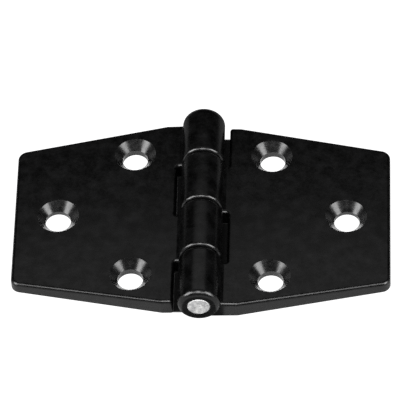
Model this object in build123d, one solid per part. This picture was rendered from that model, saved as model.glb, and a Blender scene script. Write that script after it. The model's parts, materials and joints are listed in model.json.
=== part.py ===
from build123d import *
from math import radians, tan
import os

# A moulded plastic hinge laid open flat: two tapered leaves with interleaved knuckles on one steel pin.
# X runs across the leaves, Y along the pin towards the closed end of the barrel, and Z is up.
# The origin is on the underside, below the middle of the pin. All sizes are in millimetres.

# Leaves
open_width = 76.2
leaf_root_length = 46.7
leaf_tip_length = 34.8
straight_width = 7.56
root_thickness = 3.5
tip_thickness = 2.4
corner_radius = 2.0
top_edge_radius = 0.7
root_fillet_radius = 0.7
leaf_end_inset = 1.2

# Barrel of interleaved knuckles
knuckles_per_leaf = 2
barrel_length = 49.95
knuckle_diameter = 8.64
knuckle_gap = 0.3
knuckle_rim_radius = 0.75
underside_flat_depth = 0.06
leaf_clearance = 1.0
slot_corner_radius = 0.5
open_end_radius = 1.2
closed_end_radius = 2.4
closed_end_wall = 3.2

# Steel pin, tight in one leaf and free to turn in the other
pin_diameter = 4.76
pin_edge_chamfer = 0.25
running_clearance = 0.05
pin_end_clearance = 0.3

# Countersunk screw holes, a pair near the barrel and one near the tip
screw_hole_diameter = 5.2
countersink_diameter = 8.4
countersink_angle = 82.0
inner_hole_distance = 14.1
inner_hole_spacing = 31.5
outer_hole_distance = 29.3

# How far a cut runs past the surface that it opens
cut_margin = 1.0

# Sizes that follow from those above
leaf_reach = open_width / 2
knuckle_radius = knuckle_diameter / 2
axis_height = knuckle_radius - underside_flat_depth
knuckle_count = 2 * knuckles_per_leaf
knuckle_length = (barrel_length - (knuckle_count - 1) * knuckle_gap) / knuckle_count
slot_depth = knuckle_radius + leaf_clearance
barrel_start = -barrel_length / 2
leaf_start = barrel_start + leaf_end_inset
leaf_middle = leaf_start + leaf_root_length / 2
pin_radius = pin_diameter / 2
pin_length = barrel_length - closed_end_wall - pin_end_clearance


def leaf_top(distance):
    """Height of a leaf's sloping top face at a distance from the pin axis."""
    slope = (root_thickness - tip_thickness) / (leaf_reach - knuckle_radius)
    return root_thickness - slope * (distance - knuckle_radius)


def knuckle_span(index):
    """Lower and upper Y of one knuckle, counted from the leaf's own end knuckle."""
    low = barrel_start + index * (knuckle_length + knuckle_gap)
    return low, low + knuckle_length


def knuckle_slot(index):
    """Plan of the room in a leaf for a knuckle of the other leaf. The last slot is open at the leaf's end."""
    low, high = knuckle_span(index)
    low -= knuckle_gap
    high += cut_margin if index == knuckle_count - 1 else knuckle_gap
    width = slot_depth + cut_margin
    return Pos(slot_depth - width / 2, (low + high) / 2) * Rectangle(width, high - low)


def leaf_plan():
    """Outline of a leaf from above: square at the root, narrowing to rounded tips, slotted along the pin."""
    half_root = leaf_root_length / 2
    half_tip = leaf_tip_length / 2
    corners = [
        (0, -half_root),
        (straight_width, -half_root),
        (leaf_reach, -half_tip),
        (leaf_reach, half_tip),
        (straight_width, half_root),
        (0, half_root),
    ]
    plan = make_face(Polyline(*corners, close=True))
    plan = Pos(0, leaf_middle) * fillet(plan.vertices().group_by(Axis.X)[-1], corner_radius)
    for index in range(1, knuckle_count, 2):
        plan -= knuckle_slot(index)
    slot_corners = plan.vertices().filter_by_position(Axis.X, knuckle_radius, straight_width, (True, False))
    return fillet(slot_corners.sort_by(Axis.Y)[:-1], slot_corner_radius)


def leaf_plate():
    """A leaf without its knuckles: flat below, thinning towards the tip, with its top edges rounded."""
    side_corners = [
        (0, 0),
        (leaf_reach, 0),
        (leaf_reach, tip_thickness),
        (0, leaf_top(0)),
    ]
    side = Plane.XZ * make_face(Polyline(*side_corners, close=True))
    plate = extrude(leaf_plan(), leaf_top(0)) & extrude(side, barrel_length, both=True)
    top_edges = plate.faces().sort_by(Axis.Z)[-1].edges()
    knuckle_roots = top_edges.group_by(Axis.X)[0]
    return fillet(top_edges - knuckle_roots, top_edge_radius)


def knuckle(index, end_radius):
    """A round knuckle with rounded rims, trimmed level with the leaf's underside."""
    low, high = knuckle_span(index)
    profile = Pos(knuckle_radius / 2, (low + high) / 2) * Rectangle(knuckle_radius, knuckle_length)
    profile = fillet(profile.vertices().sort_by(Axis.Y)[:2].sort_by(Axis.X)[-1], end_radius)
    profile = fillet(profile.vertices().sort_by(Axis.Y)[-2:].sort_by(Axis.X)[-1], knuckle_rim_radius)
    barrel = Pos(0, 0, axis_height) * revolve(profile, Axis.Y)
    return split(barrel, Plane.XY, keep=Keep.TOP)


def root_fillet(index):
    """The concave blend between a leaf's top face and one of its own knuckles."""
    low, high = knuckle_span(index)
    low = max(low + knuckle_rim_radius, leaf_start + top_edge_radius)
    high -= knuckle_rim_radius

    axis = Vector(0, axis_height)
    along_top = (Vector(leaf_reach, tip_thickness) - Vector(0, leaf_top(0))).normalized()
    square_to_top = Vector(-along_top.Y, along_top.X)
    top_start = Vector(0, leaf_top(0)) - axis
    # The blend's centre is one fillet radius above the top face and outside the knuckle.
    across = top_start.dot(square_to_top) + root_fillet_radius
    reach = ((knuckle_radius + root_fillet_radius) ** 2 - across**2) ** 0.5
    centre = axis + square_to_top * across + along_top * reach

    on_top = centre - square_to_top * root_fillet_radius
    on_knuckle = axis + (centre - axis).normalized() * knuckle_radius
    towards_corner = ((on_top - centre) + (on_knuckle - centre)).normalized()
    deepest = centre + towards_corner * root_fillet_radius
    inside = Vector(knuckle_radius / 2, axis_height / 2)
    outline = [
        ThreePointArc(on_top, deepest, on_knuckle),
        Line(on_knuckle, inside),
        Line(inside, on_top),
    ]
    section = Plane.XZ * make_face(outline)
    return Pos(0, high, 0) * extrude(section, high - low)


def countersunk_hole(distance, along):
    """A straight screw hole under a cone that is widest at the leaf's top face."""
    bore_radius = screw_hole_diameter / 2
    rim_radius = countersink_diameter / 2
    spread = tan(radians(countersink_angle / 2))
    top = leaf_top(distance)
    cone_bottom = top - (rim_radius - bore_radius) / spread
    section_corners = [
        (0, -cut_margin),
        (bore_radius, -cut_margin),
        (bore_radius, cone_bottom),
        (rim_radius + cut_margin * spread, top + cut_margin),
        (0, top + cut_margin),
    ]
    section = Plane.XZ * make_face(Polyline(*section_corners, close=True))
    return Pos(distance, along, 0) * revolve(section, Axis.Z)


def pin_bore(radius, start):
    """The round hole along the barrel, from a start point on the pin axis to past the last knuckle."""
    bore = Cylinder(radius, barrel_length, rotation=(-90, 0, 0), align=(Align.CENTER, Align.CENTER, Align.MIN))
    return Pos(0, start, axis_height) * bore


def hinge_leaf(end_radius, bore_radius, bore_start):
    """One moulded leaf with its knuckles, bored for the pin and drilled for its screws."""
    leaf = leaf_plate()
    for index in range(0, knuckle_count, 2):
        leaf += knuckle(index, end_radius if index == 0 else knuckle_rim_radius)
        leaf += root_fillet(index)

    leaf -= pin_bore(bore_radius, bore_start)
    leaf -= countersunk_hole(outer_hole_distance, leaf_middle)
    for side in (-1, 1):
        leaf -= countersunk_hole(inner_hole_distance, leaf_middle + side * inner_hole_spacing / 2)
    return leaf


def hinge_pin():
    """A plain round pin with lightly chamfered ends, flush with the open end of the barrel."""
    pin = Cylinder(pin_radius, pin_length, rotation=(-90, 0, 0), align=(Align.CENTER, Align.CENTER, Align.MIN))
    pin = chamfer(pin.edges().filter_by(GeomType.CIRCLE), pin_edge_chamfer)
    return Pos(0, barrel_start, axis_height) * pin


right_leaf = hinge_leaf(open_end_radius, pin_radius, barrel_start - cut_margin)
closed_leaf = hinge_leaf(closed_end_radius, pin_radius + running_clearance, barrel_start + closed_end_wall)
left_leaf = Rot(0, 0, 180) * closed_leaf

os.makedirs("parts", exist_ok=True)
export_step(left_leaf, "parts/left_leaf.step")
export_step(right_leaf, "parts/right_leaf.step")
export_step(hinge_pin(), "parts/hinge_pin.step")
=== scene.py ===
# %% [markdown]
# A moulded plastic hinge, laid open on a table.
#
# The hinge is three pieces: a left leaf and a right leaf, each moulded in black nylon with two knuckles of
# its own, and a steel pin on which the knuckles turn. Their shapes come from the model, and they stay as
# they are. This lesson gives them their finishes, a table, lamps and a camera.

# %% Load the hinge
import json
import math

import bpy
import numpy as np
from mathutils import Matrix, Vector

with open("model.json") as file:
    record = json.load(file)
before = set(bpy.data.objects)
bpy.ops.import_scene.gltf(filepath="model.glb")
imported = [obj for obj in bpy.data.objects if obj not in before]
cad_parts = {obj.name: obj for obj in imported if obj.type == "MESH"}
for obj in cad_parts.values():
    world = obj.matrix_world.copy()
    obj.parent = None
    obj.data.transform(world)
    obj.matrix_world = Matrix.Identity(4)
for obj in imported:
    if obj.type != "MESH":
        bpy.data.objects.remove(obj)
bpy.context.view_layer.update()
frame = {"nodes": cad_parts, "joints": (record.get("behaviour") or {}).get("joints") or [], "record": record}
nodes = frame["nodes"]
MM = 0.001

# %% [markdown]
# The camera.
#
# The hinge is seen from the open end of its barrel, from above, with a long lens, so that far and near
# edges are almost parallel. A camera is three directions and a place. The view is first tipped down, then
# turned round the vertical, then rolled in the picture, and it stands back along its own line of sight.
# Writing the directions as vectors keeps each of these angles in plain sight, which a chain of rotations
# doesn't.

# %% Work out the camera's directions
view_elevation = math.radians(49.901)
view_turn = math.radians(-4.401)
view_roll = math.radians(3.979)


def camera_directions(elevation, turn, roll):
    """Right, up and forward of a camera that is tipped down, then turned, then rolled."""
    level = Vector((math.cos(turn), -math.sin(turn), 0))
    ahead = Vector((math.sin(turn), math.cos(turn), 0))
    forward = math.cos(elevation) * ahead - math.sin(elevation) * Vector((0, 0, 1))
    right = math.cos(roll) * level - math.sin(roll) * level.cross(forward)
    return right, right.cross(forward), forward


right, up, forward = camera_directions(view_elevation, view_turn, view_roll)
print("the camera looks along:", [round(x, 3) for x in forward])

# %% Place the camera
view_distance = 944.4 * MM
looked_at = Vector((0, 0, 2.414 * MM))
looked_at_pixel = Vector((201.96, 216.77))
picture_pixels = 400
pixels_per_metre = 4.94 / MM
focal_pixels = pixels_per_metre * view_distance

# The point looked at is a little off the picture's centre. The camera turns by that much and isn't shifted.
picture_centre = Vector((picture_pixels / 2, picture_pixels / 2))
off_centre = looked_at_pixel - picture_centre
aim = (focal_pixels * forward - off_centre.x * right + off_centre.y * up).normalized()
side = aim.cross(up).normalized()
turned = Matrix((side, side.cross(aim), -aim)).transposed().to_4x4()

camera = bpy.data.objects.new("camera", bpy.data.cameras.new("camera"))
camera.data.lens = focal_pixels / picture_pixels * camera.data.sensor_width
camera.data.clip_end = 20
camera.matrix_world = Matrix.Translation(looked_at - view_distance * forward) @ turned
bpy.context.scene.collection.objects.link(camera)
bpy.context.scene.camera = camera

print("lens in mm:", round(camera.data.lens, 1), "camera at:", [round(x, 3) for x in camera.location])

# %% [markdown]
# Black nylon.
#
# The leaves come out of a mould whose face has been lightly blasted, so they are satin with a fine even
# grain. The black is faintly cloudy, where the colour has spread unevenly in the melt. Nylon shrinks as it
# cools, and the broad tops aren't quite flat, so that reflections in them drift a little, while the barrel
# and the countersinks, which form round steel cores, stay true.
#
# A picture of such a surface could carry this, but it would have one resolution, and a seam where it wraps.
# Noise on Object coordinates has neither problem. The places of the barrel and the countersinks are known
# from the model, so the distances to the pin's axis and to the screws' axes tell the flats from the rest.
#
# A finish is a network of nodes, and most of it says "this pattern drives that socket". One helper adds a
# node with its settings and plugs in what feeds it, so that the nodes read in the order in which they work.


# %% Start the black nylon
def add_node(tree, kind, feeds=(), **settings):
    """A new node with its properties set. Each socket in feeds gets a value, or a link to an output."""
    node = tree.nodes.new("ShaderNode" + kind)
    for name, value in settings.items():
        setattr(node, name, value)
    for socket, value in dict(feeds).items():
        if isinstance(value, bpy.types.NodeSocket):
            tree.links.new(value, node.inputs[socket])
        else:
            node.inputs[socket].default_value = value
    return node


def new_material(name):
    """A node material, its tree, its shader, and the Object coordinates that its patterns are drawn on."""
    material = bpy.data.materials.new(name)
    material.use_nodes = True
    tree = material.node_tree
    return material, tree, tree.nodes["Principled BSDF"], add_node(tree, "TexCoord").outputs["Object"]


nylon, tree, shader, place = new_material("black_nylon")
print("started:", nylon.name, "with", [node.name for node in tree.nodes])

# %% Find the pin and the screw holes
pin_axis = Vector(frame["joints"][0]["pos_m"])


def screw_axes(mounts):
    """Where each screw's axis meets the underside: the mount's own place, or a row of places along Y."""
    places = []
    for mount in mounts:
        if mount["kind"] not in ("bolt_pattern", "bore"):
            continue
        count = mount["dims"].get("count", 1)
        spacing = mount["dims"].get("spacing_y_mm", 0) * MM
        steps = (np.arange(count) - (count - 1) / 2) * spacing
        places += [Vector(mount["pos_m"]) + Vector((0, step, 0)) for step in steps]
    return places


screws = screw_axes(frame["record"]["mounts"])
print("pin axis height in mm:", round(pin_axis.z / MM, 2), "screw holes:", len(screws))

# %% Measure how far a point is from the pin and from the nearest screw
across_pin = (1, 0, 1)
across_screw = (1, 1, 0)
far_away = 1.0


def maths(tree, operation, first, second=0.0):
    """One sum, product or other operation on two values."""
    return add_node(tree, "Math", {0: first, 1: second}, operation=operation).outputs[0]


def distance_from(tree, place, axis_point, across):
    """Distance of a place from the line through a point. A 0 in across leaves out the line's direction."""
    offset = add_node(tree, "VectorMath", {0: place, 1: axis_point}, operation="SUBTRACT").outputs[0]
    flat = add_node(tree, "VectorMath", {0: offset, 1: across}, operation="MULTIPLY").outputs[0]
    return add_node(tree, "VectorMath", {0: flat}, operation="LENGTH").outputs["Value"]


def nearest_screw(tree, place):
    """Distance of a place from the closest of the screws' upright axes."""
    nearest = far_away
    for screw in screws:
        nearest = maths(tree, "MINIMUM", distance_from(tree, place, screw, across_screw), nearest)
    return nearest


from_pin = distance_from(tree, place, pin_axis, across_pin)
from_screw = nearest_screw(tree, place)
print("distances take", len(tree.nodes), "nodes")

# %% Tell the flats from the barrel and the countersinks
barrel_root = (4.4 * MM, 5.2 * MM)
countersink_rim = (4.1 * MM, 4.3 * MM)


def ranged(tree, value, low, high, new_low, new_high, kind="LINEAR"):
    """A value carried from the span low to high over to new_low to new_high, and held at its ends."""
    feeds = {"Value": value, "From Min": low, "From Max": high, "To Min": new_low, "To Max": new_high}
    return add_node(tree, "MapRange", feeds, interpolation_type=kind).outputs["Result"]


off_barrel = ranged(tree, from_pin, *barrel_root, 0, 1, "SMOOTHSTEP")
off_screws = ranged(tree, from_screw, *countersink_rim, 0, 1, "SMOOTHSTEP")
on_flats = maths(tree, "MULTIPLY", off_barrel, off_screws)

flats_start = [round(span[1] / MM, 1) for span in (barrel_root, countersink_rim)]
print("the flats start this far in mm from the pin and from a screw:", flats_start)


# %% Draw the grain, the flow, the cloud and the shrinkage
def noise(tree, place, size, detail):
    """Cloudy noise with blotches of about a size in metres."""
    feeds = {"Vector": place, "Scale": 1 / size, "Detail": detail}
    return add_node(tree, "TexNoise", feeds).outputs["Fac"]


grain = noise(tree, place, size=0.22 * MM, detail=3)
flow = noise(tree, place, size=0.7 * MM, detail=2)
cloud = noise(tree, place, size=2.5 * MM, detail=4)
shrinkage = noise(tree, place, size=7 * MM, detail=1)
print("four noises, from 0.22 mm to 7 mm")

# %% Spread the colour and the gloss
cloud_span = (0.4, 0.7)
deep_black = (0.0001, 0.0001, 0.0001)
soft_black = (0.0026, 0.0026, 0.0027)
noise_span = (0.3, 0.7)
satin_roughness = (0.21, 0.3)


def ramp(tree, value, low, high, low_colour, high_colour):
    """A colour that runs from one to another as a value goes from low to high."""
    node = add_node(tree, "ValToRGB", {"Fac": value})
    for stop, position, colour in zip(node.color_ramp.elements, (low, high), (low_colour, high_colour)):
        stop.position = position
        stop.color = (*colour, 1)
    return node.outputs["Color"]


tree.links.new(ramp(tree, cloud, *cloud_span, deep_black, soft_black), shader.inputs["Base Color"])
tree.links.new(ranged(tree, flow, *noise_span, *satin_roughness), shader.inputs["Roughness"])
shader.inputs["IOR"].default_value = 1.46
print("satin roughness from", satin_roughness[0], "to", satin_roughness[1])

# %% Raise the surface
swell_depth = 0.05 * MM
grain_depth = 0.01 * MM
grain_strength = 0.3

swell = ranged(tree, shrinkage, 0, 1, -swell_depth / 2, swell_depth / 2)
uneven = maths(tree, "MULTIPLY", swell, on_flats)
waves = add_node(tree, "Bump", {"Height": uneven, "Distance": 1}).outputs[0]
blast = {"Height": grain, "Normal": waves, "Strength": grain_strength, "Distance": grain_depth}
sand = add_node(tree, "Bump", blast).outputs[0]
tree.links.new(sand, shader.inputs["Normal"])

for leaf in ("left_leaf", "right_leaf"):
    nodes[leaf].material_slots[0].material = nylon
print("black nylon on both leaves:", len(tree.nodes), "nodes")

# %% [markdown]
# Bright steel.
#
# Only the end of the pin shows, flush with the last knuckle. It was parted off a bar, and the cut has rings
# left by the tool and a mottle left by tumbling. A picture of a cut bar could be laid on it, but the rings
# have to keep their centre on the pin. So they are a wave of the distance from the pin's axis, and the
# mottle is noise. One height carries both, and the light breaks on them together.

# %% Cut the steel
steel, tree, shader, place = new_material("pin_steel")
ring_spacing = 0.28 * MM
ring_share = 0.3
cut_depth = 0.02 * MM
cut_strength = 0.35

radius = distance_from(tree, place, pin_axis, across_pin)
rings = maths(tree, "SINE", maths(tree, "MULTIPLY", radius, 2 * math.pi / ring_spacing))
mottle = noise(tree, place, size=0.9 * MM, detail=3)
height = maths(tree, "ADD", maths(tree, "MULTIPLY", rings, ring_share), mottle)
cut = add_node(tree, "Bump", {"Height": height, "Strength": cut_strength, "Distance": cut_depth}).outputs[0]
tree.links.new(cut, shader.inputs["Normal"])
print("rings on the pin's end, one every", round(ring_spacing / MM, 2), "mm")

# %% Brighten the steel
dull_steel = (0.5, 0.5, 0.51)
bright_steel = (0.76, 0.76, 0.75)
tumbled_roughness = (0.62, 0.82)

tree.links.new(ramp(tree, mottle, *noise_span, dull_steel, bright_steel), shader.inputs["Base Color"])
tree.links.new(ranged(tree, mottle, *noise_span, *tumbled_roughness), shader.inputs["Roughness"])
shader.inputs["Metallic"].default_value = 1.0

nodes["hinge_pin"].material_slots[0].material = steel
print("steel on the pin:", len(tree.nodes), "nodes")

# %% [markdown]
# The table.
#
# Nothing but white shows round the hinge and through its holes. But black plastic shows what stands round it
# more than its own colour, and the faces towards the camera mirror the table in front of them. A plain white
# table would turn them grey. So the table is a sheet of paper that reflections see: pale in front of the
# leaves and darker behind them, with painted shade before the open end of the barrel, which that end
# mirrors, and a pool of painted light under each screw hole, whose walls mirror it. The camera looks through
# it at a white backdrop. That also leaves a leaf in view when it folds down past the table.
#
# The camera sees one strip of the paper, under the barrel, and there it is painted near black: a painted
# shadow for the slots beside the knuckles, which lie in deep shade. The paper is clear from below, and to
# light that has only just left the hinge, so that the table doesn't black out an underside that lies on it.

# %% Cut the table
table_radius = 0.3
table_drop = 0.05 * MM
rim_points = 96

turn = np.linspace(0, 2 * np.pi, rim_points, endpoint=False)
level = np.full(rim_points, -table_drop)
rim = np.column_stack((table_radius * np.cos(turn), table_radius * np.sin(turn), level))
table_mesh = bpy.data.meshes.new("table")
table_mesh.from_pydata(rim.tolist(), [], [range(rim_points)])
table = bpy.data.objects.new("table", table_mesh)
bpy.context.scene.collection.objects.link(table)
print("table across in m:", 2 * table_radius)

# %% Mark out the painted shadow and shade on the paper
paper, tree, shader, place = new_material("table_paper_painted_light_and_shade")
# The strip under the barrel is painted shadow.
shadow_strip_sides = (5.2 * MM, 6.8 * MM)
shadow_strip_ends = (22.6 * MM, 23.0 * MM)
# The patch before the barrel's open end is painted shade, which that end mirrors.
end_shade_sides = (4.4 * MM, 5.2 * MM)
end_shade_front = (-36 * MM, -33 * MM)

along = add_node(tree, "SeparateXYZ", {0: place}).outputs
from_middle = maths(tree, "ABSOLUTE", along["X"])
from_halfway = maths(tree, "ABSOLUTE", along["Y"])

# Where the painted shadow lies: a near-black strip under the barrel.
beside_painted_shadow = ranged(tree, from_middle, *shadow_strip_sides, 0, 1, "SMOOTHSTEP")
past_painted_shadow = ranged(tree, from_halfway, *shadow_strip_ends, 0, 1, "SMOOTHSTEP")
off_painted_shadow = maths(tree, "MAXIMUM", beside_painted_shadow, past_painted_shadow)

# Where the painted shade before the barrel's open end lies.
beside_end_shade = ranged(tree, from_middle, *end_shade_sides, 0, 1, "SMOOTHSTEP")
past_end_shade = ranged(tree, along["Y"], *end_shade_front, 1, 0, "SMOOTHSTEP")
off_end_shade = maths(tree, "MAXIMUM", beside_end_shade, past_end_shade)
print("a strip under the barrel and a patch before its open end:", len(tree.nodes), "nodes")

# %% Colour the paper, with painted light, shade and shadow
fading = (-15 * MM, 25 * MM)
front_tone = 0.36
back_tone = 0.1
# A pool of painted light under each screw hole, which the hole walls mirror.
hole_light_edge = (2.6 * MM, 3.2 * MM)
painted_hole_light_tone = 0.9
# Dark grey for the painted shade before the barrel's open end.
painted_end_shade_tone = 0.06
# Near black for the painted shadow under the barrel.
painted_shadow_tone = 0.008

pale = ranged(tree, along["Y"], *fading, front_tone, back_tone, "SMOOTHSTEP")
# The white under the holes is painted light.
with_hole_light = ranged(tree, nearest_screw(tree, place), *hole_light_edge, painted_hole_light_tone, pale)
# The painted shade before the barrel's open end.
with_end_shade = ranged(tree, off_end_shade, 0, 1, painted_end_shade_tone, with_hole_light)
# The strip of painted shadow goes over everything else.
grey = ranged(tree, off_painted_shadow, 0, 1, painted_shadow_tone, with_end_shade)
shade = add_node(tree, "CombineColor", {"Red": grey, "Green": grey, "Blue": grey}).outputs[0]

tree.links.new(shade, shader.inputs["Base Color"])
shader.inputs["Roughness"].default_value = 0.9
shader.inputs["Specular IOR Level"].default_value = 0.1
print("paper:", front_tone, "in front,", back_tone, "behind,", painted_hole_light_tone, "under the holes")

# %% Let the camera through the paper
touching_reach = 4 * table_drop

# Camera and shadow rays pass through everywhere except the painted shadow under the barrel.
ray = add_node(tree, "LightPath").outputs
from_below = add_node(tree, "NewGeometry").outputs["Backfacing"]
looking = maths(tree, "MAXIMUM", ray["Is Camera Ray"], ray["Is Shadow Ray"])
looked_through = maths(tree, "MULTIPLY", maths(tree, "MAXIMUM", off_painted_shadow, from_below), looking)
touching = maths(tree, "LESS_THAN", ray["Ray Length"], touching_reach)
clear = maths(tree, "MAXIMUM", looked_through, touching)

nothing = add_node(tree, "BsdfTransparent").outputs[0]
seen = add_node(tree, "MixShader", {0: clear, 1: shader.outputs[0], 2: nothing}).outputs[0]
tree.links.new(seen, tree.nodes["Material Output"].inputs["Surface"])
table_mesh.materials.append(paper)
print("table paper:", len(tree.nodes), "nodes")

# %% [markdown]
# The lamps.
#
# Two tall softboxes stand left and right, towards the camera. The wall of each countersink catches one of
# them on each side, and so do the rims of the knuckles. A panel high in front draws a line of light along
# the near edges and over each rim, and two small lamps beside it close the gaps to the softboxes, so that
# the line is unbroken. The flat tops and the crest of the barrel mirror a dim panel close behind the hinge.
# Because it is close, the near end sees more of it than the far end, and the black deepens away from the
# camera. The last panel is under the table, for the underside.
#
# A lamp could be given by its size and its power. Here it is given by the angles that the hinge sees and by
# its radiance, because those are what a reflection shows.

# %% Hang the lamps
studio_radius = 1.6
back_panel_distance = 0.16
under_panel_distance = 0.5


def softbox(name, azimuth, elevation, wide, tall, radiance, distance=studio_radius):
    """
    A rectangular lamp that looks at the hinge. Its direction and its spread are in degrees, with azimuth 0
    on the camera's side and 90 on the right. Its power is its radiance times its area times pi.
    """
    light = bpy.data.lights.new(name, "AREA")
    light.shape = "RECTANGLE"
    light.size = 2 * distance * math.tan(math.radians(wide) / 2)
    light.size_y = 2 * distance * math.tan(math.radians(tall) / 2)
    light.energy = radiance * light.size * light.size_y * math.pi

    around = math.radians(azimuth)
    above = math.radians(elevation)
    level = Vector((math.sin(around), -math.cos(around), 0))
    towards = math.cos(above) * level + math.sin(above) * Vector((0, 0, 1))
    facing = towards.to_track_quat("Z", "Y").to_matrix().to_4x4()

    lamp = bpy.data.objects.new(name, light)
    lamp.matrix_world = Matrix.Translation(towards * distance) @ facing
    lamp.visible_camera = False
    bpy.context.scene.collection.objects.link(lamp)
    size = [round(light.size, 2), round(light.size_y, 2)]
    print(name, "measures", size, "m and gives", round(light.energy, 2), "W")


softbox("left_softbox", azimuth=-64, elevation=33, wide=28, tall=38, radiance=12.5)
softbox("right_softbox", azimuth=64, elevation=33, wide=28, tall=38, radiance=11.5)
softbox("top_panel", azimuth=0, elevation=62, wide=20, tall=34, radiance=9.0)
softbox("left_small_lamp", azimuth=-34, elevation=51, wide=14, tall=16, radiance=7.0)
softbox("right_small_lamp", azimuth=34, elevation=51, wide=14, tall=16, radiance=7.0)
softbox("back_panel", 180, 60, wide=56, tall=16, radiance=0.52, distance=back_panel_distance)
softbox("under_panel", 0, -90, wide=140, tall=140, radiance=0.35, distance=under_panel_distance)

# %% [markdown]
# The walls.
#
# The hinge lies on plain white, but a white room would show in the black plastic and wash it out. So the
# room is two things: dark walls for the reflections, and a white backdrop for the camera alone. The Standard
# view keeps white as white, where a filmic one would make it grey.

# %% Paint the walls
wall_colour = (0.02, 0.02, 0.02, 1)
backdrop_colour = (1, 1, 1, 1)
backdrop_strength = 1.2

world = bpy.data.worlds.new("studio")
world.use_nodes = True
bpy.context.scene.world = world
tree = world.node_tree

walls = tree.nodes["Background"]
walls.inputs["Color"].default_value = wall_colour
backdrop = add_node(tree, "Background", {"Color": backdrop_colour, "Strength": backdrop_strength})
camera_ray = add_node(tree, "LightPath").outputs["Is Camera Ray"]
seen = add_node(tree, "MixShader", {0: camera_ray, 1: walls.outputs[0], 2: backdrop.outputs[0]}).outputs[0]
tree.links.new(seen, tree.nodes["World Output"].inputs["Surface"])
bpy.context.scene.view_settings.view_transform = "Standard"
print("dark walls in reflections, a white backdrop to the camera")
